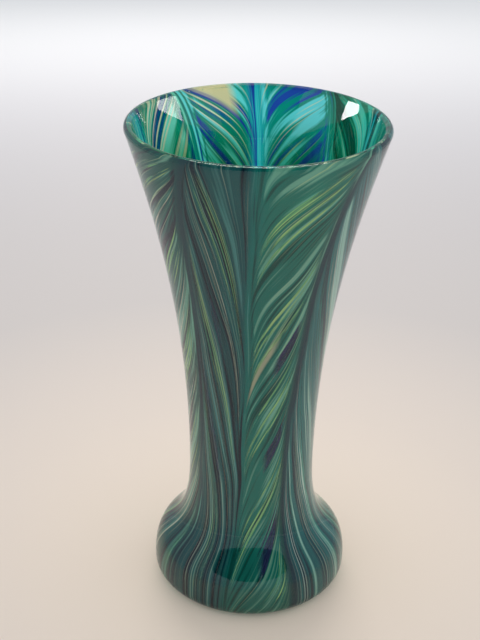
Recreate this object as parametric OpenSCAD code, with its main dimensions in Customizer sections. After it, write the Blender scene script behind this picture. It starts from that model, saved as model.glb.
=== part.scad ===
// Hand blown, cased and feathered art glass vase.
// +Z is up, the origin is the centre of the ring that the foot stands on.
// Azimuths run from the front (-Y) round towards +X.

/* [Outside shape] */
// Height from the table to the top of the lip
height = 303; // [250:1:365]
// Radius outside the lip
lip_r = 75; // [62:0.5:90]
// Radius at the slim waist
waist_r = 39; // [32:0.5:47]
// Height of the waist
waist_z = 80; // [66:1:96]
// Radius of the foot at its widest
foot_r = 61.8; // [56:0.2:75]
// Height of the widest line of the foot
foot_z = 9; // [8:0.5:12]
// Radius of the ring that touches the table
contact_r = 50; // [42:0.5:54]
// How far up the foot the wall keeps its outward curve
shoulder_hold = 36; // [30:1:44]
// How far down from the waist the wall keeps its straight run
waist_hold = 58; // [48:1:66]
// How far up from the waist the wall stays slim
flare_hold = 104; // [86:1:125]
// How far down from the lip the wall keeps its outward lean
lip_hold = 43; // [35:1:52]
// Outward lean of the wall at the lip, in degrees
lip_lean = 17; // [10:0.5:21]

/* [Glass thickness] */
// Clear outer gather
casing_t = 1.8; // [1.4:0.1:2.4]
// Space that the trails fill between the casing and the ground
trail_t = 0.7; // [0.5:0.05:0.9]
// Emerald ground colour
ground_t = 0.7; // [0.5:0.05:1]
// Clear core bubble
core_t = 1.8; // [1.4:0.1:2.4]
// Clear glass under the colour, in the base
casing_floor = 2.2; // [1.8:0.1:3]
// Clear glass over the colour, in the base
core_floor = 9; // [7:0.1:11]
// Clear glass over the colour, at the lip
clear_lip = 1; // [0.6:0.1:1.4]

/* [Underside] */
// Radius of the polished dish that removes the pontil scar
dish_r = 16; // [12:0.5:20]
// Depth of the dish
dish_depth = 1; // [0.8:0.1:1.3]

/* [Feathering] */
// Azimuth at the lip of the four downward rake strokes
down_az = [0, 107, 181, 262]; // [0:1:359]
// Drift of each downward stroke by the time it reaches the foot
down_drift = [-17, -24, -20, -25]; // [-40:1:0]
// Azimuth at the lip of the four upward rake strokes
up_az = [58, 145, 225, 333]; // [0:1:359]
// Drift of each upward stroke by the time it reaches the foot
up_drift = [-31, -22, -25, -29]; // [-50:1:0]
// Reach of the rake in the flank after each downward stroke
reach_after = [15, 16, 14, 18]; // [10:1:45]
// Reach of the rake in the flank before each downward stroke
reach_before = [38, 36, 14, 20]; // [10:1:45]
// Part of the rake's reach that it has at the lip
lip_reach = 0.4; // [0.3:0.05:0.9]
// Depth below the lip in which the reach grows to the full
lip_ease = 30; // [20:1:45]
// Height below which the trails run nearly straight down
straight_z = 60; // [50:1:80]

/* [Trails] */
// Width of a teal trail, measured up the wall as all the widths are
teal_w = 6; // [3:0.5:8]
// Width of a turquoise trail
turquoise_w = 6; // [3:0.5:8]
// Width of a cobalt trail
cobalt_w = 5; // [3:0.5:8]
// Width of a lime trail
lime_w = 4; // [2:0.5:8]
// Width of an ivory trail
ivory_w = 2; // [1:0.5:4]
// Width of an amethyst trail
amethyst_w = 9; // [5:0.5:12]
// Height between neighbouring trails of a flank
trail_pitch = 34; // [28:1:45]
// Lowest end of a trail
trail_low_z = 13; // [12.5:0.5:20]
// Distance from the lip to the highest end of a trail
trail_top_gap = 7; // [6:1:20]

/* [Hidden] */
$fn = 96;

wall = casing_t + trail_t + ground_t + core_t;
lip_z = height - wall / 2 * (1 + sin(lip_lean));    // where the fire-polished lip starts
lip_start_r = lip_r - wall / 2 * (1 - cos(lip_lean));
colour_rise = sqrt(casing_t * (wall - casing_t)) - clear_lip;     // how far into the lip the colour goes
ground_depth = casing_t + trail_t;
core_depth = ground_depth + ground_t;
colour_floor = casing_floor + ground_t;
inner_floor = colour_floor + core_floor;
foot_bite = 1.6;                        // how steeply a floor corner turns up into the wall
corner_steps = 8;                       // straight pieces that draw each bend
shoulder_steps = 20;
flare_steps = 20;
lip_steps = 8;

dish_curve = (dish_r * dish_r + dish_depth * dish_depth) / (2 * dish_depth);
roll_hold = 0.6;                        // how round the lower edge of the foot is
hollow_t = 0.3;                         // where the inner hollow leaves the shoulder curve

// The colours laid in each flank, from the foot up and then over again; the flanks follow
// the first downward stroke round, so even ones rise with the azimuth and odd ones fall
trail_colours = [["lime", "amethyst"], ["teal", "ivory"], ["lime", "teal"], ["cobalt", "turquoise"],
                 ["turquoise", "ivory", "cobalt"], ["teal", "turquoise"], ["lime", "ivory"],
                 ["ivory", "lime", "amethyst"]];
flanks = len(trail_colours);
first_trail_z = trail_low_z - 11;
down_curve = 1.2;                       // downward strokes drift evenly
up_curve = 0.4;                         // upward strokes drift fastest just below the lip
straight_share = [1, 0.2, 0.2, 0.2, 0.2, 0.2, 0.2, 0.2];    // rake left under straight_z, by flank
edge_share = 0.04;                      // a trail ends this close to its stroke
foot_step = 3;                          // trail point spacing round the shoulder of the foot
body_step = 6;                          // on the flatter wall above it
lip_step = 3;                           // and near the lip, where the trails lie flattest
lip_zone = 36;
bend_end_z = foot_z + shoulder_hold;

// Points and directions of a cubic curve
function mix(a, b, t) = a + (b - a) * t;
function on_curve(c, t) = let (u = 1 - t)
    u * u * u * c[0] + 3 * u * u * t * c[1] + 3 * u * t * t * c[2] + t * t * t * c[3];
function along(c, t) = let (u = 1 - t)
    u * u * (c[1] - c[0]) + 2 * u * t * (c[2] - c[1]) + t * t * (c[3] - c[2]);
function inward(c, t) = let (d = along(c, t)) [-d.y, d.x] / norm(d);
function inset_curve(c, depth, from, to, steps) =
    [for (i = [0:steps]) let (t = mix(from, to, i / steps)) on_curve(c, t) + depth * inward(c, t)];

// The outside of the vase, from the table to the lip
roll = [[contact_r, 0], [mix(contact_r, foot_r, roll_hold), 0],
        [foot_r, foot_z * (1 - roll_hold)], [foot_r, foot_z]];
shoulder = [[foot_r, foot_z], [foot_r, foot_z + shoulder_hold],
            [waist_r, waist_z - waist_hold], [waist_r, waist_z]];
flare = [[waist_r, waist_z], [waist_r, waist_z + flare_hold],
         [lip_start_r - tan(lip_lean) * lip_hold, lip_z - lip_hold], [lip_start_r, lip_z]];

function body_skin(depth, from) = concat(
    inset_curve(shoulder, depth, from, 1, shoulder_steps),
    inset_curve(flare, depth, 1 / flare_steps, 1, flare_steps - 1));

// A layer's surface inside the wall: its floor, the rounded corner, then the wall
function floor_corner(floor_z, depth, from) = let (
    end = on_curve(shoulder, from) + depth * inward(shoulder, from),
    dir = along(shoulder, from) / norm(along(shoulder, from)),
    rise = end.y - floor_z,
    start = [end.x - foot_bite * rise, floor_z],
    corner = [start, start + [rise, 0], end - dir * rise * 0.5, end])
    concat([[0, floor_z]], [for (i = [0:corner_steps - 1]) on_curve(corner, i / corner_steps)]);
function layer_skin(floor_z, depth, from) =
    concat(floor_corner(floor_z, depth, from), body_skin(depth, from));

function risen(skin) = concat(skin, [skin[len(skin) - 1] + colour_rise * [sin(lip_lean), cos(lip_lean)]]);

outer_skin = concat([[0, 0]], [for (i = [0:corner_steps - 1]) on_curve(roll, i / corner_steps)],
                    body_skin(0, 0));
casing_skin = risen(layer_skin(casing_floor, casing_t, 0));
ground_skin = risen(layer_skin(casing_floor, ground_depth, 0));
core_skin = risen(layer_skin(colour_floor, core_depth, 0));
hollow_skin = layer_skin(inner_floor, wall, hollow_t);

// A skin from the lip back down, and a skin's radius at a height
function back(points) = [for (i = [len(points) - 1:-1:0]) points[i]];
function radius_at(skin, z) = lookup(z, [for (p = skin) if (p.x > 0.75 * waist_r) [p.y, p.x]]);

// The lip is a half round over the full wall, and the casing and the core share it
lip_mid = [lip_r - wall / 2, height - wall / 2];
share_angle = acos(1 - 2 * core_depth / wall);
function lip_arc(from, to) = [for (i = [0:lip_steps]) let (a = mix(from, to, i / lip_steps) - lip_lean)
    lip_mid + wall / 2 * [cos(a), sin(a)]];

module turned(points) {
    rotate_extrude() polygon(points);
}

module clear_casing() {
    color("lightcyan", 0.4)
        difference() {
            turned(concat(outer_skin, lip_arc(0, share_angle), [core_skin[len(core_skin) - 1]],
                          back(casing_skin)));
            translate([0, 0, dish_depth - dish_curve])
                sphere(r = dish_curve);
        }
}

module core_bubble() {
    color("azure", 0.4)
        turned(concat(core_skin, lip_arc(share_angle, 180), back(hollow_skin)));
}

module emerald_ground() {
    color("seagreen")
        turned(concat(ground_skin, back(core_skin)));
}

// Where each rake stroke lies at a height
function drop(z) = max(0, height - z) / height;
function down_at(k, z) = down_az[k % 4] + 360 * floor(k / 4) + down_drift[k % 4] * pow(drop(z), down_curve);
function up_at(k, z) = up_az[k % 4] + up_drift[k % 4] * pow(drop(z), up_curve);
function down_of(flank) = ceil(flank / 2);
function up_of(flank) = floor(flank / 2);
function reach_of(flank) = flank % 2 == 0 ? reach_after[down_of(flank) % 4]
                                          : reach_before[down_of(flank) % 4];

// A trail laid level at height t is raked down at one side of its flank and up at the other
function raked_z(flank, z) = max(z, straight_z + straight_share[flank] * (z - straight_z));
function reach_at(flank, z) = reach_of(flank) * (1 - (1 - lip_reach) * exp((z - height) / lip_ease));
function share_at(flank, t, z) = 1 / (1 + exp((t - raked_z(flank, z)) / reach_at(flank, z)));
function azimuth_at(flank, t, z) =
    mix(down_at(down_of(flank), z), up_at(up_of(flank), z), share_at(flank, t, z));

foot_heights = [for (z = trail_low_z; z < bend_end_z; z = z + foot_step) z];
wall_heights = [for (z = bend_end_z; z < height - lip_zone; z = z + body_step) z];
lip_heights = [for (z = height - lip_zone; z <= height - trail_top_gap; z = z + lip_step) z];
all_heights = concat(foot_heights, wall_heights, lip_heights);
function trail_run(flank, t) = [for (z = all_heights)
    let (s = share_at(flank, t, z)) if (s > edge_share && s < 1 - edge_share) z];

module trail(flank, t, width) {
    run = trail_run(flank, t);
    rings = [for (z = run) let (
        a = azimuth_at(flank, t - width / 2, z),
        b = azimuth_at(flank, t + width / 2, z),
        lo = min(a, b), hi = max(a, b),
        r_out = radius_at(casing_skin, z), r_in = radius_at(ground_skin, z))
        [for (p = [[r_out, lo], [r_out, hi], [r_in, hi], [r_in, lo]])
            [p[0] * sin(p[1]), -p[0] * cos(p[1]), z]]];
    last = 4 * (len(run) - 1);
    if (len(run) > 3)
        polyhedron(
            points = [for (ring = rings) each ring],
            faces = concat([[0, 1, 2, 3]], [[last + 3, last + 2, last + 1, last]],
                [for (i = [0:len(run) - 2], k = [0:3]) let (a = 4 * i + k, b = 4 * i + (k + 1) % 4)
                    each [[a, a + 4, b + 4], [a, b + 4, b]]]),
            convexity = 6);
}

module trails(colour, width) {
    rows = floor((height - trail_top_gap + 20 - first_trail_z) / trail_pitch);
    for (flank = [0:flanks - 1], row = [0:rows])
        let (order = trail_colours[flank], start = trail_pitch * (flank * 3 % flanks) / flanks)
            if (order[row % len(order)] == colour)
                trail(flank, first_trail_z + row * trail_pitch + start, width);
}

module teal_trails() { color("teal") trails("teal", teal_w); }
module turquoise_trails() { color("turquoise") trails("turquoise", turquoise_w); }
module cobalt_trails() { color("royalblue") trails("cobalt", cobalt_w); }
module lime_trails() { color("yellowgreen") trails("lime", lime_w); }
module ivory_trails() { color("ivory") trails("ivory", ivory_w); }
module amethyst_trails() { color("indigo") trails("amethyst", amethyst_w); }

clear_casing();
core_bubble();
emerald_ground();
teal_trails();
turquoise_trails();
cobalt_trails();
lime_trails();
ivory_trails();
amethyst_trails();
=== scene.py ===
# Hand blown, cased and feathered art glass vase, on a pale table in soft light.
import math
import random
import bpy
from mathutils import Euler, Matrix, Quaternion, Vector


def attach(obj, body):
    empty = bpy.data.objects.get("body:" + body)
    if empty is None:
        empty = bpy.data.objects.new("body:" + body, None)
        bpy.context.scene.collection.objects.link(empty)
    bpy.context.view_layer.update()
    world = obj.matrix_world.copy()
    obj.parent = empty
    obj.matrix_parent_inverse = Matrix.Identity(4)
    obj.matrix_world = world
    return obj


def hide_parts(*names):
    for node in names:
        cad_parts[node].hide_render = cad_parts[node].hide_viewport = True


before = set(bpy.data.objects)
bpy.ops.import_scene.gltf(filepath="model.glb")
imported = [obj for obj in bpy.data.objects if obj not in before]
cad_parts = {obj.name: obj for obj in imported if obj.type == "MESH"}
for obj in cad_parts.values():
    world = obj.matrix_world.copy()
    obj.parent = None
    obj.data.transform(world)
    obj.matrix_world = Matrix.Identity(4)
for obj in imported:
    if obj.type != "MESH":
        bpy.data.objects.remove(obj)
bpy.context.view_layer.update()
mm = 0.001
tiny = 1e-9                             # what is divided by never gets smaller than this
smoothAngle = math.radians(35)          # edges sharper than this stay sharp


def linear(hexColour):
    # an sRGB hex value as the linear colour that a shader takes
    channels = [int(hexColour[i:i + 2], 16) / 255 for i in (1, 3, 5)]
    return [c / 12.92 if c <= 0.04045 else ((c + 0.055) / 1.055) ** 2.4 for c in channels] + [1.0]


def addNode(tree, kind, settings=None, links=None):
    # adds a node with its settings, and gives each input a value or a link from a socket
    # a Mix node has its factor at input 0, numbers at 2 and 3, and colours at 6 and 7
    node = tree.nodes.new("ShaderNode" + kind)
    for name, value in (settings or {}).items():
        if name == "stops":
            for i, (position, colour) in enumerate(value):
                stop = node.color_ramp.elements[i] if i < 2 else node.color_ramp.elements.new(position)
                stop.position = position
                stop.color = colour
        elif name == "rampType":
            node.color_ramp.interpolation = value
        else:
            setattr(node, name, value)
    for name, value in (links or {}).items():
        if isinstance(value, bpy.types.NodeSocket):
            tree.links.new(value, node.inputs[name])
        else:
            node.inputs[name].default_value = value
    return node


def newMaterial(name):
    # an empty material and its node tree
    material = bpy.data.materials.new(name)
    material.use_nodes = True
    material.node_tree.nodes.clear()
    return material, material.node_tree


# the outline, in millimetres; a hold is how far a curve keeps its direction, and rollHold is a share
vaseShape = {
    "height": 303,
    "lipRadius": 75,
    "lipLean": math.radians(17),
    "waistRadius": 39,
    "waistHeight": 80,
    "footRadius": 61.8,
    "footHeight": 9,
    "contactRadius": 50,                # the outside of the flat ring that it stands on
    "shoulderHold": 36,
    "waistHold": 58,
    "flareHold": 104,
    "lipHold": 43,
    "rollHold": 0.6,
    "dishRadius": 16,
    "dishDepth": 1,
}
glassLayers = {
    "casing": 1.8,
    "trails": 0.7,
    "ground": 0.7,
    "core": 1.8,
    "casingFloor": 2.2,
    "coreFloor": 9,
    "clearLip": 1,                      # the colour ends this far under the lip's outside
    "cornerReach": 1.6,                 # how the floor turns up into the wall, as shares of its rise
    "cornerHold": 0.6,
    "cornerRise": 0.5,
    "hollowStart": 0.3,                 # how far up the shoulder the hollow's round corner reaches
    "wallFrom": 0.75,                   # share of the waist's radius: a skin further out is wall
    "segments": 240,
    "curveSteps": 26,
    "cornerSteps": 10,
    "lipSteps": 12,
    "dishSteps": 6,
    "rollSteps": 10,
    "mergeDistance": 0.01,
}
wall = sum(glassLayers[name] for name in ("casing", "trails", "ground", "core"))
lean = Vector((math.sin(vaseShape["lipLean"]), math.cos(vaseShape["lipLean"])))


def point(radius, height):
    # x is the distance from the vase's axis, y is the height
    return Vector((radius, height))


lipStart = point(vaseShape["lipRadius"] - wall / 2 * (1 - lean.y),
                 vaseShape["height"] - wall / 2 * (1 + lean.x))
lipMiddle = point(vaseShape["lipRadius"] - wall / 2, vaseShape["height"] - wall / 2)
footStart = point(vaseShape["footRadius"], vaseShape["footHeight"])
waist = point(vaseShape["waistRadius"], vaseShape["waistHeight"])
rollOut = vaseShape["rollHold"] * (vaseShape["footRadius"] - vaseShape["contactRadius"])
roll = [point(vaseShape["contactRadius"], 0),
        point(vaseShape["contactRadius"] + rollOut, 0),
        point(vaseShape["footRadius"], vaseShape["footHeight"] * (1 - vaseShape["rollHold"])),
        footStart]
shoulder = [footStart, footStart + point(0, vaseShape["shoulderHold"]),
            waist - point(0, vaseShape["waistHold"]), waist]
flare = [waist, waist + point(0, vaseShape["flareHold"]),
         lipStart - vaseShape["lipHold"] * point(math.tan(vaseShape["lipLean"]), 1), lipStart]


def onCurve(curve, t):
    # a curve is a start, two handles and an end, and t goes along it from 0 to 1
    u = 1 - t
    return u ** 3 * curve[0] + 3 * u * u * t * curve[1] + 3 * u * t * t * curve[2] + t ** 3 * curve[3]


def alongCurve(curve, t):
    u = 1 - t
    return (u * u * (curve[1] - curve[0]) + 2 * u * t * (curve[2] - curve[1])
            + t * t * (curve[3] - curve[2])).normalized()


def insetCurve(curve, depth, start, end, steps):
    # points that lie this deep under the curve
    points = []
    for i in range(steps + 1):
        t = start + (end - start) * i / steps
        along = alongCurve(curve, t)
        points.append(onCurve(curve, t) + depth * point(-along.y, along.x))
    return points


def wallSkin(depth, start=0):
    # the wall from the foot's widest place to the lip, this deep in the glass
    steps = glassLayers["curveSteps"]
    return (insetCurve(shoulder, depth, start, 1, steps)
            + insetCurve(flare, depth, 1 / steps, 1, steps - 1))


def layerSkin(floorHeight, depth, start=0, rise=0):
    # one face of a layer, from the middle of the floor round the corner and up to the lip
    wallPart = wallSkin(depth, start)
    end, along = wallPart[0], alongCurve(shoulder, start)
    lift = end.y - floorHeight
    corner = [point(end.x - glassLayers["cornerReach"] * lift, floorHeight),
              point(end.x - glassLayers["cornerHold"] * lift, floorHeight),
              end - along * lift * glassLayers["cornerRise"], end]
    steps = glassLayers["cornerSteps"]
    bend = [onCurve(corner, i / steps) for i in range(steps)]
    top = [wallPart[-1] + rise * lean] if rise else []
    return [point(0, floorHeight)] + bend + wallPart + top


def radiusAt(skin, height):
    # of the wall's part of a skin
    walls = [p for p in skin if p.x > glassLayers["wallFrom"] * vaseShape["waistRadius"]]
    for low, high in zip(walls, walls[1:]):
        if low.y <= height <= high.y:
            return low.x + (high.x - low.x) * (height - low.y) / max(high.y - low.y, tiny)
    return walls[-1].x if height > walls[-1].y else walls[0].x


casing = glassLayers["casing"]
casingFloor = glassLayers["casingFloor"]
colourFloor = casingFloor + glassLayers["ground"]
innerFloor = colourFloor + glassLayers["coreFloor"]
groundDepth = casing + glassLayers["trails"]
coreDepth = groundDepth + glassLayers["ground"]
colourRise = math.sqrt(casing * (wall - casing)) - glassLayers["clearLip"]
outerWall = wallSkin(0)
casingSkin = layerSkin(casingFloor, casing, rise=colourRise)
groundSkin = layerSkin(casingFloor, groundDepth, rise=colourRise)
coreSkin = layerSkin(colourFloor, coreDepth, rise=colourRise)
hollowSkin = layerSkin(innerFloor, wall, start=glassLayers["hollowStart"])
meetAngle = math.acos(1 - 2 * coreDepth / wall)        # on the lip's half-round, where casing and core meet


def lipArc(start, end):
    # part of the lip's half-round, from the outside at 0 to the inside at pi
    steps = glassLayers["lipSteps"]
    angles = [start + (end - start) * i / steps - vaseShape["lipLean"] for i in range(steps + 1)]
    return [lipMiddle + wall / 2 * point(math.cos(a), math.sin(a)) for a in angles]


def spinProfile(name, points):
    # one point is pulled along the outline, and the outline is spun about the vase's axis
    bpy.ops.object.select_all(action="DESELECT")
    bpy.ops.mesh.primitive_plane_add(size=mm)
    piece = bpy.context.object
    piece.name = piece.data.name = name
    bpy.ops.object.mode_set(mode="EDIT")
    bpy.ops.mesh.select_all(action="SELECT")
    bpy.ops.mesh.merge(type="CENTER")
    bpy.ops.transform.translate(value=(points[0].x * mm, 0, points[0].y * mm))
    for here, there in zip(points, points[1:]):
        move = (there - here) * mm
        bpy.ops.mesh.extrude_vertices_move(TRANSFORM_OT_translate={"value": (move.x, 0, move.y)})
    bpy.ops.mesh.select_all(action="SELECT")
    bpy.ops.mesh.spin(steps=glassLayers["segments"], angle=math.tau, center=(0, 0, 0), axis=(0, 0, 1))
    bpy.ops.mesh.select_all(action="SELECT")
    bpy.ops.mesh.remove_doubles(threshold=glassLayers["mergeDistance"] * mm)
    bpy.ops.mesh.normals_make_consistent(inside=False)
    bpy.ops.object.mode_set(mode="OBJECT")
    bpy.ops.object.shade_smooth_by_angle(angle=smoothAngle)
    return piece


def distanceTo(outline, place):
    best = math.inf
    for a, b in zip(outline, outline[1:]):
        side = b - a
        t = max(0, min(1, (place - a).dot(side) / max(side.length_squared, tiny)))
        best = min(best, (a + side * t - place).length)
    return best


def coverFaces(piece, shown, hidden):
    # faces nearer to the hidden outline than to the shown one take the second material
    known = {}                          # rings of faces share one answer
    for face in piece.data.polygons:
        x, y, z = face.center
        key = (round(math.hypot(x, y) / mm, 2), round(z / mm, 2))
        if key not in known:
            known[key] = distanceTo(hidden, point(*key)) < distanceTo(shown, point(*key))
        if known[key]:
            face.material_index = 1


# fire-polished clear glass: bright edge lines, a clear lip and a pale sheen at the sides
clearGlass = {
    "tint": "#F4FAF8", "ior": 1.52, "roughness": 0.0,
    "waveSize": 32, "waveDepth": 0.5,           # mm: the slight waves that blowing and turning leave
    "waveStrength": 0.5,
}


def passLight(tree, surface, tint):
    # light on its way to the next layer goes straight through, while the eye still sees the surface
    through = addNode(tree, "BsdfTransparent", links={"Color": tint})
    path = addNode(tree, "LightPath")
    passes = addNode(tree, "Math", {"operation": "MAXIMUM"},
                     {0: path.outputs["Is Shadow Ray"], 1: path.outputs["Is Diffuse Ray"]})
    return addNode(tree, "MixShader", links={0: passes.outputs[0], 1: surface.outputs[0],
                                             2: through.outputs[0]})


def clearGlassMaterial():
    material, tree = newMaterial("firePolishedClearGlass")
    coords = addNode(tree, "TexCoord")
    waves = addNode(tree, "TexNoise", links={"Vector": coords.outputs["Object"], "Detail": 1.0,
                                             "Scale": 1 / (clearGlass["waveSize"] * mm)})
    bump = addNode(tree, "Bump", links={"Height": waves.outputs["Fac"],
                                        "Strength": clearGlass["waveStrength"],
                                        "Distance": clearGlass["waveDepth"] * mm})
    glass = addNode(tree, "BsdfPrincipled", links={
        "Base Color": linear(clearGlass["tint"]), "Roughness": clearGlass["roughness"],
        "IOR": clearGlass["ior"], "Transmission Weight": 1.0, "Normal": bump.outputs[0]})
    mixed = passLight(tree, glass, linear(clearGlass["tint"]))
    addNode(tree, "OutputMaterial", links={"Surface": mixed.outputs[0]})
    return material


def seamMaterial():
    # where two layers melted together nothing is seen at all
    material, tree = newMaterial("meltedSeam")
    through = addNode(tree, "BsdfTransparent")
    addNode(tree, "OutputMaterial", links={"Surface": through.outputs[0]})
    return material


# rake strokes: azimuth at the lip and drift by the foot, in degrees, one stroke down and one up in turn
rakeStrokes = {
    "azimuths": [0, 58, 107, 145, 181, 225, 262, 333],
    "drifts": [-17, -31, -24, -22, -20, -25, -25, -29],
    "curves": [1.2, 0.4],                           # downward strokes drift evenly, upward ones early
    "reaches": [15, 36, 16, 14, 14, 20, 18, 38],    # of the flank that follows each stroke, in mm
    "mostReach": 50,                                # mm: what the end of a ramp stands for
    "lipReach": 0.4, "lipEase": 30,                 # the rake bites less close under the lip
    "evenReach": 15,                                # threads are as wide as if every reach were this
    # lower than this the threads turn to run beside the strokes: 1 is as raked as ever, 0 is straight
    "straightHeight": 60,
    "straightShare": [1, 0.2, 0.2, 0.2, 0.2, 0.2, 0.2, 0.2],
    "straightBlend": 24,
    "edgeShare": 0.012,                             # a stroke's own share of a flank
    "wander": (7, 7, 14), "wanderSize": 62.5,       # mm: how far the glass strays, and over what size
    "threadRoughness": 0.55,                        # how much the finer part of a noise shows
}
strokes = len(rakeStrokes["azimuths"])


def perFlank(tree, count, values, most=None):
    # one value or colour for each flank between two strokes; a ramp ends at 1, which stands for most
    stops = []
    for i, value in enumerate(values):
        colour = (value / most, value / most, value / most, 1) if most else linear(value)
        stops.append((i / strokes, colour))
    return addNode(tree, "ValToRGB", {"rampType": "CONSTANT", "stops": stops}, {0: count}).outputs[0]


def rakedGlass(tree):
    # undoes the raking: gives the height at which the glass at a point was first laid
    coords = addNode(tree, "TexCoord")
    noise = addNode(tree, "TexNoise", links={"Vector": coords.outputs["Object"], "Detail": 1.0,
                                             "Scale": 1 / (rakeStrokes["wanderSize"] * mm)})
    centred = addNode(tree, "VectorMath", {"operation": "SUBTRACT"}, {0: noise.outputs["Color"],
                                                                      1: (0.5, 0.5, 0.5)})
    wander = [distance * mm for distance in rakeStrokes["wander"]]
    moved = addNode(tree, "VectorMath", {"operation": "MULTIPLY_ADD"},
                    {0: centred.outputs[0], 1: wander, 2: coords.outputs["Object"]})
    parts = addNode(tree, "SeparateXYZ", links={0: moved.outputs[0]})
    known = {"x": parts.outputs["X"], "y": parts.outputs["Y"], "z": parts.outputs["Z"]}

    def work(steps):
        # each step is a name, an operation and its inputs: numbers, or names of earlier steps
        for name, operation, *inputs in steps:
            links = {i: known[v] if isinstance(v, str) else float(v) for i, v in enumerate(inputs)}
            known[name] = addNode(tree, "Math", {"operation": operation}, links).outputs[0]

    work([("height", "DIVIDE", "z", mm), ("front", "MULTIPLY", "y", -1), ("turn", "ARCTAN2", "x", "front"),
          ("azimuth", "DEGREES", "turn"), ("up", "MULTIPLY_ADD", "height", -1 / vaseShape["height"], 1),
          ("drop", "MAXIMUM", "up", 0.0), ("drop0", "POWER", "drop", rakeStrokes["curves"][0]),
          ("drop1", "POWER", "drop", rakeStrokes["curves"][1])])
    for i, (start, drift) in enumerate(zip(rakeStrokes["azimuths"], rakeStrokes["drifts"])):
        work([("line%d" % i, "MULTIPLY_ADD", "drop%d" % (i % 2), drift, start)])
    last = "line%d" % strokes
    work([(last, "ADD", "line0", 360), ("wrapped", "WRAP", "azimuth", last, "line0")])
    passed = 0.0
    for i in range(strokes):
        step = addNode(tree, "MapRange", {"clamp": True}, {
            "Value": known["wrapped"], "From Min": known["line%d" % i],
            "From Max": known["line%d" % (i + 1)]}).outputs[0]
        passed = addNode(tree, "Math", {"operation": "ADD"}, {0: passed, 1: step}).outputs[0]
    known["passed"] = passed
    edge, most = rakeStrokes["edgeShare"], rakeStrokes["mostReach"]
    work([("count", "DIVIDE", "passed", strokes), ("share", "PINGPONG", "passed", 1),
          ("safe", "MULTIPLY_ADD", "share", 1 - 2 * edge, edge), ("rest", "SUBTRACT", 1, "safe"),
          ("odds", "DIVIDE", "safe", "rest"), ("logit", "LOGARITHM", "odds", math.e),
          ("mid", "MULTIPLY", "safe", "rest")])     # next to nothing at a stroke, and a quarter between two
    known["reachPart"] = perFlank(tree, known["count"], rakeStrokes["reaches"], most)
    known["straight"] = perFlank(tree, known["count"], rakeStrokes["straightShare"], 1)
    work([("above", "SUBTRACT", "height", rakeStrokes["straightHeight"]),
          ("eased", "MULTIPLY", "above", "straight"),
          ("rake", "SMOOTH_MAX", "above", "eased", rakeStrokes["straightBlend"]),
          ("raked", "ADD", "rake", rakeStrokes["straightHeight"]),
          ("fromLip", "MULTIPLY_ADD", "height", 1 / rakeStrokes["lipEase"],
           -vaseShape["height"] / rakeStrokes["lipEase"]),
          ("near", "EXPONENT", "fromLip"),
          ("grown", "MULTIPLY_ADD", "near", most * (rakeStrokes["lipReach"] - 1), most),
          ("reach", "MULTIPLY", "reachPart", "grown"), ("shift", "MULTIPLY", "reach", "logit"),
          ("laid", "SUBTRACT", "raked", "shift"), ("part", "DIVIDE", "laid", "reachPart"),
          ("even", "MULTIPLY", "part", rakeStrokes["evenReach"] / most),
          ("cosine", "COSINE", "turn"), ("sine", "SINE", "turn")])
    known["place"] = addNode(tree, "CombineXYZ", links={0: known["cosine"], 1: known["sine"],
                                                        2: known["even"]}).outputs[0]
    return known


def laidNoise(tree, field, spacing, around, shift):
    # noise that runs along the raked threads: spacing is in mm of laid glass, around is how much
    # it changes round the vase, and each shift gives another noise
    scaled = addNode(tree, "VectorMath", {"operation": "MULTIPLY_ADD"},
                     {0: field["place"], 1: (around, around, 1 / spacing), 2: (shift, shift, shift)})
    noise = addNode(tree, "TexNoise", links={"Vector": scaled.outputs[0], "Scale": 1.0, "Detail": 1.0,
                                             "Roughness": rakeStrokes["threadRoughness"]})
    return noise.outputs["Fac"]


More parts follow.
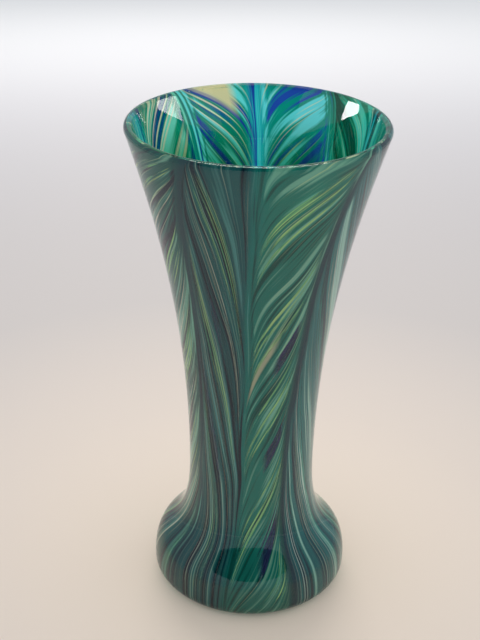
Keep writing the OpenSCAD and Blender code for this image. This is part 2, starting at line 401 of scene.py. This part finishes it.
# the coat of colour over the core; each list has one colour for each flank, from the front stroke round
groundCoat = {
    # opal emerald glass, raked: it turns light back, which gives soft milky streaks under the clear casing
    "outside": {
        "dark": ["#145E57", "#1A4856", "#135248", "#14386A", "#153A66", "#12524E", "#1A3246", "#163040"],
        "middle": ["#298B7C", "#2B8686", "#258A78", "#1F888E", "#238C88", "#268C78", "#20706A", "#27696C"],
        "light": ["#86C4AA", "#B0DAC8", "#80C6A8", "#68C0BA", "#70C4B2", "#82C4A0", "#7EB8A2", "#60A49E"],
        "thread": ["#CBDFA6", "#E6EEE0", "#D0E2B4", "#C4E4DA", "#E6E8C8", "#D6E4AE", "#C8DCAC", "#B6C8B0"],
        "downStem": "#22857A", "upStem": "#26505A",
        "bands": 11, "fine": 3.4, "hair": 1.5,      # mm of laid glass
        "threadFrom": 0.655, "threadTo": 0.74,
        "middleFrom": 0.74, "lightFrom": 0.98,
        "stemTo": 0.12,                             # how far the strokes' own streaks reach into a flank
        # the coat's colour turns darker towards the foot
        "darkeningFrom": 62, "darkeningTo": 22, "deepest": 0.42, "darkeningAtStem": 1, "darkeningTint": "#3E9A96",
        # a pool of beige was left here, and it makes one thick feather beside the front stroke
        "pool": "#C2BC9C", "poolFlanks": [1, 0, 0, 0, 0, 0, 0, 0],
        "poolWithin": [("laid", 187, 190), ("laid", 199, 195), ("share", 0.03, 0.1), ("share", 0.56, 0.4)],
        "opal": (0.55, 0.85), "passesLight": True,  # share of light turned back, from dark to light colour
    },
    # the same coat seen through the core, with light behind it: deep, saturated streaks that glow
    "inside": {
        "dark": ["#06503A", "#07503F", "#06503C", "#2450B4", "#2048A8", "#0A4A80", "#06502E", "#0B4E43"],
        "middle": ["#0B8A68", "#0A8A6C", "#0A9A74", "#0B9C88", "#0C9A7C", "#0C9C74", "#0C8858", "#0B8A70"],
        "light": ["#4CD9B0", "#4CD4B2", "#4ADDC2", "#6CECF0", "#70F0EE", "#7CECD0", "#60D49C", "#50D4B0"],
        "thread": ["#ECF4C8", "#E6F0C8", "#ECF0C8", "#F0EEC0", "#F4F0C8", "#F0ECC4", "#ECF0BC", "#ECF2C4"],
        "downStem": "#2CC8D0", "upStem": "#0A9478",
        "bands": 9, "fine": 3.2, "hair": 2.2,
        "threadFrom": 0.61, "threadTo": 0.68,
        "middleFrom": 0.765, "lightFrom": 0.935,
        "stemTo": 0.2,
        # painted shade: further down the inner wall the colour is darker, as less light comes through there
        "darkeningFrom": 290, "darkeningTo": 256, "deepest": 0.8, "darkeningAtStem": 0.15, "darkeningTint": "#3A9A68",
        # a cream pool at the lip, where a first wrap of ivory was left
        "pool": "#F2E8B4", "poolFlanks": [0, 0, 0, 0, 1, 0, 0, 0],
        "poolWithin": [("laid", 291, 296), ("share", 0.24, 0.36)],
        "opal": (0.3, 0.5), "passesLight": False,
    },
}
coatDrawing = {
    # change round the vase and shift of the three widths of raked thread
    "bands": (1.1, 2.0), "fine": (1.3, 11.0), "hair": (0.9, 7.0),
    "fineWeight": 0.6, "hairWeight": 0.22,          # beside the bands' weight of 1
    "streaks": 15, "streakLength": 125,             # beside the strokes: how many to a flank, and mm
    "streakGain": 1.4, "streakLift": 0.17,
    "stemFrom": 0.015,
    "middleFade": 0.12, "lightFade": 0.11,
    "threadCover": 0.85,
    "opalAt": 0.6,                                  # a colour this bright is as opal as any
}


def coatThreads(tree, field, look):
    # raked threads between the strokes, and streaks that run with the strokes beside them
    bands, fine, hair = [laidNoise(tree, field, look[name], *coatDrawing[name])
                         for name in ("bands", "fine", "hair")]
    half = addNode(tree, "Math", {"operation": "MULTIPLY_ADD"},
                   {0: fine, 1: coatDrawing["fineWeight"], 2: bands}).outputs[0]
    raked = addNode(tree, "Math", {"operation": "MULTIPLY_ADD"},
                    {0: hair, 1: coatDrawing["hairWeight"], 2: half}).outputs[0]
    beside = addNode(tree, "CombineXYZ", links={0: field["passed"], 1: field["height"]}).outputs[0]
    scaled = addNode(tree, "VectorMath", {"operation": "MULTIPLY"},
                     {0: beside, 1: (coatDrawing["streaks"], 1 / coatDrawing["streakLength"], 1)})
    streaks = addNode(tree, "TexNoise", links={"Vector": scaled.outputs[0], "Scale": 1.0, "Detail": 2.0})
    drawn = addNode(tree, "Math", {"operation": "MULTIPLY_ADD"},
                    {0: streaks.outputs["Fac"], 1: coatDrawing["streakGain"],
                     2: coatDrawing["streakLift"]}).outputs[0]
    calm = addNode(tree, "MapRange", {"clamp": True, "interpolation_type": "SMOOTHSTEP"},
                   {"Value": field["mid"], "From Min": coatDrawing["stemFrom"],
                    "From Max": look["stemTo"]}).outputs[0]
    thickness = addNode(tree, "Mix", links={0: calm, 2: drawn, 3: raked}).outputs[0]
    return thickness, calm, hair


def coatColour(tree, field, look):
    thickness, calm, hair = coatThreads(tree, field, look)
    shown = {}
    for name in ("middle", "light"):
        start = look[name + "From"]
        shown[name] = addNode(tree, "MapRange", {"clamp": True},
                              {"Value": thickness, "From Min": start,
                               "From Max": start + coatDrawing[name + "Fade"]}).outputs[0]
    lines = addNode(tree, "MapRange", {"clamp": True}, {"Value": hair, "From Min": look["threadFrom"],
                                                        "From Max": look["threadTo"],
                                                        "To Max": coatDrawing["threadCover"]}).outputs[0]
    shown["thread"] = addNode(tree, "Math", {"operation": "MULTIPLY"}, {0: lines, 1: calm}).outputs[0]
    # darker by height: low on the inner wall this is painted shade; on the outside the colour turns darker
    # towards the foot
    darkening = addNode(tree, "MapRange", {"clamp": True, "interpolation_type": "SMOOTHSTEP"},
                   {"Value": field["height"], "From Min": look["darkeningFrom"], "From Max": look["darkeningTo"],
                    "To Max": look["deepest"]}).outputs[0]
    atStem = addNode(tree, "Math", {"operation": "MULTIPLY_ADD"},
                     {0: calm, 1: 1.0 - look["darkeningAtStem"], 2: look["darkeningAtStem"]}).outputs[0]
    shown["darkening"] = addNode(tree, "Math", {"operation": "MULTIPLY"}, {0: darkening, 1: atStem}).outputs[0]
    shown["pool"] = perFlank(tree, field["count"], look["poolFlanks"], 1)
    for name, none, full in look["poolWithin"]:
        part = addNode(tree, "MapRange", {"clamp": True}, {"Value": field[name], "From Min": none,
                                                           "From Max": full}).outputs[0]
        shown["pool"] = addNode(tree, "Math", {"operation": "MULTIPLY"},
                                {0: shown["pool"], 1: part}).outputs[0]
    flank = {name: perFlank(tree, field["count"], look[name])
             for name in ("dark", "middle", "light", "thread")}
    stem = addNode(tree, "Mix", {"data_type": "RGBA"}, {0: field["share"], 6: linear(look["downStem"]),
                                                        7: linear(look["upStem"])}).outputs[2]
    middle = addNode(tree, "Mix", {"data_type": "RGBA"}, {0: calm, 6: stem, 7: flank["middle"]}).outputs[2]
    # each colour lies over the ones before it
    colour = flank["dark"]
    for name, over, blend in (("middle", middle, "MIX"), ("light", flank["light"], "MIX"),
                              ("thread", flank["thread"], "MIX"),
                              ("darkening", linear(look["darkeningTint"]), "MULTIPLY"),
                              ("pool", linear(look["pool"]), "MIX")):
        colour = addNode(tree, "Mix", {"data_type": "RGBA", "blend_type": blend},
                         {0: shown[name], 6: colour, 7: over}).outputs[2]
    return colour


def opalShader(tree, colour, opal, passesLight, cover=None):
    # opal glass: part of the light turns back at once, and the rest glows through to the other side
    turned = addNode(tree, "BsdfDiffuse", links={"Color": colour})
    glow = addNode(tree, "BsdfTranslucent", links={"Color": colour})
    surface = addNode(tree, "MixShader", links={0: opal, 1: glow.outputs[0], 2: turned.outputs[0]})
    if cover is not None:
        through = addNode(tree, "BsdfTransparent")
        surface = addNode(tree, "MixShader", links={0: cover, 1: through.outputs[0], 2: surface.outputs[0]})
    if passesLight:
        surface = passLight(tree, surface, (1, 1, 1, 1))
    addNode(tree, "OutputMaterial", links={"Surface": surface.outputs[0]})


def groundMaterial(name, look):
    material, tree = newMaterial(name)
    colour = coatColour(tree, rakedGlass(tree), look)
    grey = addNode(tree, "RGBToBW", links={0: colour}).outputs[0]
    least, most = look["opal"]
    opal = addNode(tree, "MapRange", {"clamp": True}, {"Value": grey, "From Max": coatDrawing["opalAt"],
                                                       "To Min": least, "To Max": most}).outputs[0]
    opalShader(tree, colour, opal, look["passesLight"])
    return material


clear = clearGlassMaterial()
seam = seamMaterial()

dish = [point(0, vaseShape["dishDepth"])]
for i in range(1, glassLayers["dishSteps"] + 1):
    part = i / glassLayers["dishSteps"]
    dish.append(point(vaseShape["dishRadius"] * part, vaseShape["dishDepth"] * (1 - part ** 2)))
foot = dish + [onCurve(roll, i / glassLayers["rollSteps"]) for i in range(glassLayers["rollSteps"])]
outside = foot + outerWall + lipArc(0, meetAngle)[1:]
casingSeam = [coreSkin[-1]] + casingSkin[::-1]          # its hidden face, from where it meets the core
clearCasing = spinProfile("clearCasing", outside + casingSeam)
clearCasing.data.materials.append(clear)
clearCasing.data.materials.append(seam)
coverFaces(clearCasing, outside, casingSeam)
print("clear casing spun")

inside = lipArc(meetAngle, math.pi) + hollowSkin[::-1]
coreBubble = spinProfile("coreBubble", coreSkin + inside)
coreBubble.data.materials.append(clear)
coreBubble.data.materials.append(seam)
coverFaces(coreBubble, inside, coreSkin)
print("core bubble spun")

emeraldGround = spinProfile("emeraldGround", groundSkin + coreSkin[::-1])
emeraldGround.data.materials.append(groundMaterial("opalEmeraldOutside", groundCoat["outside"]))
emeraldGround.data.materials.append(groundMaterial("glowingEmeraldInside", groundCoat["inside"]))
coverFaces(emeraldGround, groundSkin, coreSkin)
print("ground coat spun")

for piece, node, slot in ((clearCasing, "clear_casing", "clear_glass"),
                          (coreBubble, "core_bubble", "clear_glass"),
                          (emeraldGround, "emerald_ground", "emerald_glass")):
    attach(piece, "root")
    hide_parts(node)

# trails: threads of coloured glass laid on the ground coat and raked with it
trailLaying = {
    "orders": [["lime", "amethyst"], ["teal", "ivory"], ["lime", "teal"], ["cobalt", "turquoise"],
               ["turquoise", "ivory", "cobalt"], ["teal", "turquoise"], ["lime", "ivory"],
               ["ivory", "lime", "amethyst"]],
    "rows": 10, "pitch": 34, "first": 2,        # mm of laid glass
    "flankStep": 3,                             # spreads the first rows of the flanks over one pitch
    "lowest": 13, "highest": 296, "shortest": 20,
    "deepest": 2.44,                            # mm under the outside, for the inner face of every strip
    "endShare": 0.04,                           # a trail stops this share of a flank short of the strokes
    "lengthSteps": 44, "widthSteps": 4,
    "taper": 4, "taperPower": 0.6, "finest": 0.02,      # full width a quarter in, a fine thread at the ends
    "seed": 7, "nearest": 0.35, "thinnest": 0.6, "thickest": 1.3,   # shares of a thread's spread and width
    "stagger": 0.006, "staggerCount": 8,        # mm: threads of one colour that cross lie one over another
    "strength": [1, 0.8, 1, 1, 1, 1, 0.9, 0.62],     # how much each flank's trails cover the coat
}
# width, spread and thin are mm of laid glass, and depth is mm under the outside; shown is where across
# a flank a trail fades in and out, and broken is how much is left of it where it is thinnest
trailGlass = {
    "teal": {"width": 6, "threads": 3, "spread": 11, "thin": 2.2, "body": "#2FA08C", "streak": "#156A66",
             "depth": 2.2, "shown": (0.04, 0.15, 0.85, 0.96), "broken": 0.3, "slot": "teal_glass"},
    "turquoise": {"width": 6, "threads": 3, "spread": 10, "thin": 2, "body": "#5FD0C6", "streak": "#1C98A0",
                  "depth": 2.1, "shown": (0.04, 0.2, 0.8, 0.96), "broken": 0.3, "slot": "turquoise_glass"},
    "cobalt": {"width": 5, "threads": 3, "spread": 10, "thin": 1.6, "body": "#2F5CB8", "streak": "#1B2C6E",
               "depth": 2.05, "shown": (0.04, 0.2, 0.8, 0.96), "broken": 0.4, "slot": "cobalt_glass"},
    "lime": {"width": 4, "threads": 5, "spread": 14, "thin": 2.2, "body": "#BCE092", "streak": "#66B680",
             "depth": 1.95, "shown": (0.05, 0.22, 0.84, 0.95), "broken": 0.1, "slot": "lime_glass"},
    "ivory": {"width": 2, "threads": 4, "spread": 13, "thin": 0.9, "body": "#E4E0C6", "streak": "#BCCCA8",
              "depth": 1.88, "shown": (0.04, 0.1, 0.9, 0.97), "broken": 0.2, "slot": "ivory_glass"},
    "amethyst": {"width": 11, "threads": 2, "spread": 8, "thin": 4.5, "body": "#33335A", "streak": "#20304C",
                 "depth": 2.3, "shown": (0.46, 0.58, 0.82, 0.92), "broken": 0.85, "slot": "amethyst_glass",
                 "fade": (225, 205)},           # mm: it thins out from the second height to the first
}
trailDrawing = {
    # mm of laid glass, change round the vase and shift
    "streaks": (1.5, 1.0, 5.0), "patches": (6.0, 2.6, 3.0),
    "ragged": 0.5, "edgeFrom": 0.27, "edgeTo": 0.45,    # how the streaks eat into the edges of a strip
    "patchFrom": 0.36, "patchTo": 0.52,
    "streakAt": 0.4, "bodyAt": 0.6,
    "opal": 0.8,
}


def smoothMax(a, b, blend):
    # the greater of the two, rounded off where they meet
    near = max(blend - abs(a - b), 0) / blend
    return max(a, b) + near ** 3 * blend / 6


def strokeAt(count, height):
    # azimuth of a rake stroke at a height; strokes past the last are the first ones again
    drop = max(0, vaseShape["height"] - height) / vaseShape["height"]
    i = count % strokes
    return (rakeStrokes["azimuths"][i] + 360 * (count // strokes)
            + rakeStrokes["drifts"][i] * drop ** rakeStrokes["curves"][i % 2])


def shareAt(flank, laid, height):
    # glass laid at one height lies at another height this share of the flank from the downward stroke
    above = height - rakeStrokes["straightHeight"]
    raked = rakeStrokes["straightHeight"] + smoothMax(above, above * rakeStrokes["straightShare"][flank],
                                                      rakeStrokes["straightBlend"])
    near = math.exp((height - vaseShape["height"]) / rakeStrokes["lipEase"])
    reach = rakeStrokes["reaches"][flank] * (1 - (1 - rakeStrokes["lipReach"]) * near)
    return 1 / (1 + math.exp((laid - raked) / reach))


def trailPoint(flank, laid, height, skin, inset):
    # where the glass laid at one height is found at another, on a skin or a little under it
    share = shareAt(flank, laid, height)
    if flank % 2:
        share = 1 - share
    low, high = strokeAt(flank, height), strokeAt(flank + 1, height)
    turn = math.radians(low + (high - low) * share)
    radius = radiusAt(skin, height) - inset
    return Vector((radius * math.sin(turn), -radius * math.cos(turn), height)) * mm


def trailSpan(flank, laid):
    # the lowest and highest point of a trail, to a millimetre
    heights = range(trailLaying["lowest"], trailLaying["highest"] + 1)
    edge = trailLaying["endShare"]
    shown = [h for h in heights if edge < shareAt(flank, laid, h) < 1 - edge]
    return (shown[0], shown[-1]) if len(shown) > trailLaying["shortest"] else None


def drawnTrail(pattern, flank, laid, width, skin, inset):
    # a copy of the flat strip, drawn out along the rake to two fine ends
    span = trailSpan(flank, laid)
    if not span:
        return None
    strip = pattern.copy()
    strip.data = pattern.data.copy()
    bpy.context.collection.objects.link(strip)
    side = -1 if flank % 2 else 1
    for vertex in strip.data.vertices:
        along, across = vertex.co.x + 0.5, vertex.co.y
        ends = min(1, trailLaying["taper"] * along, trailLaying["taper"] * (1 - along))
        taper = ends ** trailLaying["taperPower"] + trailLaying["finest"]
        height = span[0] + (span[1] - span[0]) * along
        vertex.co = trailPoint(flank, laid + side * across * width * taper, height, skin, inset)
    return strip


def trailMaterial(colour, look):
    # rod colour drawn thin: the edges feather into the ground and streaks run along it
    material, tree = newMaterial("drawn" + colour.capitalize() + "Rod")
    field = rakedGlass(tree)
    streaks = laidNoise(tree, field, *trailDrawing["streaks"])
    patches = laidNoise(tree, field, *trailDrawing["patches"])
    uv = addNode(tree, "UVMap")
    parts = addNode(tree, "SeparateXYZ", links={0: uv.outputs["UV"]})
    fromEdge = addNode(tree, "Math", {"operation": "PINGPONG"}, {0: parts.outputs["Y"], 1: 0.5}).outputs[0]
    ragged = addNode(tree, "Math", {"operation": "MULTIPLY_ADD"},
                     {0: streaks, 1: trailDrawing["ragged"], 2: fromEdge}).outputs[0]
    soft = addNode(tree, "MapRange", {"clamp": True, "interpolation_type": "SMOOTHSTEP"},
                   {"Value": ragged, "From Min": trailDrawing["edgeFrom"],
                    "From Max": trailDrawing["edgeTo"]}).outputs[0]
    strength = perFlank(tree, field["count"], trailLaying["strength"], 1)
    cover = addNode(tree, "Math", {"operation": "MULTIPLY"}, {0: strength, 1: soft}).outputs[0]
    low, lowFull, highFull, high = look["shown"]
    fades = [(field["share"], low, lowFull, 0), (field["share"], high, highFull, 0),
             (patches, trailDrawing["patchFrom"], trailDrawing["patchTo"], look["broken"])]
    if "fade" in look:
        fades.append((field["height"], *look["fade"], 0))
    for value, none, full, least in fades:
        part = addNode(tree, "MapRange", {"clamp": True}, {"Value": value, "From Min": none,
                                                           "From Max": full, "To Min": least}).outputs[0]
        cover = addNode(tree, "Math", {"operation": "MULTIPLY"}, {0: cover, 1: part}).outputs[0]
    tone = addNode(tree, "MapRange", {"clamp": True},
                   {"Value": streaks, "From Min": trailDrawing["streakAt"],
                    "From Max": trailDrawing["bodyAt"]}).outputs[0]
    mixed = addNode(tree, "Mix", {"data_type": "RGBA"}, {0: tone, 6: linear(look["streak"]),
                                                         7: linear(look["body"])}).outputs[2]
    opalShader(tree, mixed, trailDrawing["opal"], True, cover)
    return material


bpy.ops.object.select_all(action="DESELECT")
bpy.ops.mesh.primitive_grid_add(x_subdivisions=trailLaying["lengthSteps"],
                                y_subdivisions=trailLaying["widthSteps"], size=1)
pattern = bpy.context.object
random.seed(trailLaying["seed"])
for colour, look in trailGlass.items():
    strips = []
    trailSkin = layerSkin(casingFloor, look["depth"], rise=colourRise)
    for flank, order in enumerate(trailLaying["orders"]):
        step = flank * trailLaying["flankStep"] % strokes
        start = trailLaying["first"] + trailLaying["pitch"] * step / strokes
        for row in range(trailLaying["rows"]):
            if order[row % len(order)] != colour:
                continue
            laid = start + row * trailLaying["pitch"]
            strips.append(drawnTrail(pattern, flank, laid, look["width"], trailSkin, 0))
            for thread in range(look["threads"]):
                away = random.uniform(trailLaying["nearest"], 1) * look["spread"] * random.choice((-1, 1))
                width = look["thin"] * random.uniform(trailLaying["thinnest"], trailLaying["thickest"])
                inset = trailLaying["stagger"] * (1 + len(strips) % trailLaying["staggerCount"])
                strips.append(drawnTrail(pattern, flank, laid + away, width, trailSkin, inset))
    strips = [strip for strip in strips if strip]
    bpy.ops.object.select_all(action="DESELECT")
    for strip in strips:
        strip.select_set(True)
    piece = strips[0]
    bpy.context.view_layer.objects.active = piece
    bpy.ops.object.join()
    piece.name = piece.data.name = colour + "Trails"
    piece.data.materials.append(trailMaterial(colour, look))
    piece.data.materials.append(seam)
    solid = piece.modifiers.new("thickness", "SOLIDIFY")
    solid.thickness = (trailLaying["deepest"] - look["depth"]) * mm
    solid.offset = -1
    solid.material_offset = 1
    solid.material_offset_rim = 1
    bpy.ops.object.modifier_apply(modifier=solid.name)
    bpy.ops.object.shade_smooth_by_angle(angle=smoothAngle)
    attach(piece, "root")
    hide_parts(colour + "_trails")
    print(colour, "trails drawn:", len(strips))
bpy.data.objects.remove(pattern)

# table, backdrop and light, in metres
stageSet = {
    # the paper's tone is painted light and shade: warm beside the vase, greyer further off and light at the
    # back
    "paperWithPaintedLight": [(0.0, "#F6E0C8"), (0.19, "#F6E2CE"), (0.25, "#E4D4C6"), (0.33, "#C8C0BA"), (0.59, "#B7B4B6"),
              (0.83, "#FFFCF8")],
    "near": -0.4, "far": 2.0,               # distances from the vase that the paper's 0 and 1 stand for
    "tableSize": 150,                       # so large that its edge is lost in the distance
    "world": "#E4ECF6", "brightness": 0.68,
    "lightsAim": (0, 0, 0.15),
}


def stageMaterial():
    # matt paper with no shine, so that nothing but the vase draws the eye; its tone, which changes with
    # distance from the vase, is painted light and shade
    material, tree = newMaterial("paleTablePaper")
    coords = addNode(tree, "TexCoord")
    away = addNode(tree, "VectorMath", {"operation": "LENGTH"}, {0: coords.outputs["Object"]})
    far = addNode(tree, "MapRange", {"clamp": True}, {"Value": away.outputs["Value"],
                                                      "From Min": stageSet["near"],
                                                      "From Max": stageSet["far"]}).outputs[0]
    # painted light and shade on the paper, by distance from the vase
    stops = [(position, linear(colour)) for position, colour in stageSet["paperWithPaintedLight"]]
    colour = addNode(tree, "ValToRGB", {"stops": stops, "rampType": "B_SPLINE"}, {0: far})
    paperWithPaintedLight = addNode(tree, "BsdfDiffuse", links={"Color": colour.outputs[0]})
    addNode(tree, "OutputMaterial", links={"Surface": paperWithPaintedLight.outputs[0]})
    return material


bpy.ops.object.select_all(action="DESELECT")
bpy.ops.mesh.primitive_plane_add(size=stageSet["tableSize"])
table = bpy.context.object
table.name = "table"
table.data.materials.append(stageMaterial())

world = bpy.data.worlds.new("paleTent")
bpy.context.scene.world = world
world.use_nodes = True
world.node_tree.nodes["Background"].inputs["Color"].default_value = linear(stageSet["world"])
world.node_tree.nodes["Background"].inputs["Strength"].default_value = stageSet["brightness"]

softboxes = {
    "overheadSoftbox": {"place": (0.2, 0.3, 1.9), "size": (1.6, 1.6), "watts": 6},
    "tableFill": {"place": (0, 0.1, 2.0), "size": (2.4, 2.4), "watts": 7, "only": table},
    "backSoftbox": {"place": (-0.1, 1.3, 0.8), "size": (1.2, 0.7), "watts": 9},
    "leftWindow": {"place": (-1.75, 0.3, 0.42), "size": (0.6, 0.5), "watts": 12, "only": coreBubble},
    "rightWindow": {"place": (1.55, 0.15, 0.45), "size": (0.8, 0.5), "watts": 6, "only": coreBubble},
    "lipStrip": {"place": (0, 0.35, 1.6), "size": (1.4, 0.35), "watts": 9, "only": clearCasing},
}
for name, look in softboxes.items():
    bpy.ops.object.select_all(action="DESELECT")
    bpy.ops.object.light_add(type="AREA", location=look["place"])
    light = bpy.context.object
    light.name = name
    light.data.shape = "ELLIPSE"
    light.data.size, light.data.size_y = look["size"]
    light.data.energy = look["watts"]
    toVase = Vector(stageSet["lightsAim"]) - Vector(look["place"])
    light.rotation_euler = toVase.to_track_quat("-Z", "Y").to_euler()
    if name == "backSoftbox":
        # it only makes the far wall glow: its own shape isn't seen in the glass
        light.visible_transmission = light.visible_glossy = False
    if "only" in look:
        # lights one thing alone, such as a soft shine on the inner wall or a fine line on the lip
        lit = bpy.data.collections.new(name + "Lit")
        lit.objects.link(look["only"])
        light.light_linking.receiver_collection = lit

# aim, distance and lens in mm, the angles in degrees
cameraSet = {"aim": (-8.48, 0, 178.43), "pitch": 27.25, "distance": 751.1, "roll": 0.91, "lens": 70.3,
             "clipStart": 10}
pitch = math.radians(cameraSet["pitch"])
aim = Vector(cameraSet["aim"]) * mm
toCamera = Vector((0, -math.cos(pitch), math.sin(pitch)))
bpy.ops.object.camera_add(location=aim + cameraSet["distance"] * mm * toCamera)
camera = bpy.context.object
camera.rotation_mode = "QUATERNION"
camera.rotation_quaternion = (Euler((math.pi / 2 - pitch, 0, 0)).to_quaternion()
                              @ Quaternion((0, 0, 1), math.radians(cameraSet["roll"])))
camera.data.lens = cameraSet["lens"]
camera.data.clip_start = cameraSet["clipStart"] * mm
camera.data.clip_end = 2 * stageSet["tableSize"]
bpy.context.scene.camera = camera

# a dark card stands behind the camera and shows only as an oval reflection in the foot; its size is
# its width and height in metres, and it stands away from the vase at this rise in degrees
cardSet = {"colour": "#070B10", "size": (1.4, 1.0), "rise": 49, "away": 0.9, "sides": 48}
rise = math.radians(cardSet["rise"])
toCard = Vector((0, -math.cos(rise), math.sin(rise)))
bpy.ops.object.select_all(action="DESELECT")
bpy.ops.mesh.primitive_circle_add(vertices=cardSet["sides"], radius=0.5, fill_type="NGON",
                                  location=cardSet["away"] * toCard,
                                  rotation=(math.pi / 2 - rise, 0, 0))
card = bpy.context.object
card.scale = (*cardSet["size"], 1)
bpy.ops.object.transform_apply()
card.name = "darkCard"
# matt black board: no light comes off it, so the clear glass shows the colour under it dark and deep
cardMaterial, cardTree = newMaterial("blackFoamBoard")
board = addNode(cardTree, "BsdfDiffuse", links={"Color": linear(cardSet["colour"])})
addNode(cardTree, "OutputMaterial", links={"Surface": board.outputs[0]})
card.data.materials.append(cardMaterial)
card.visible_camera = card.visible_diffuse = card.visible_shadow = False

bpy.context.scene.view_settings.view_transform = "Standard"
# light goes through many layers of glass, one behind another, before it reaches the eye
bpy.context.scene.cycles.transparent_max_bounces = 32
bpy.context.scene.cycles.transmission_bounces = 16
bpy.context.scene.cycles.max_bounces = 20
print("table, light and camera set")
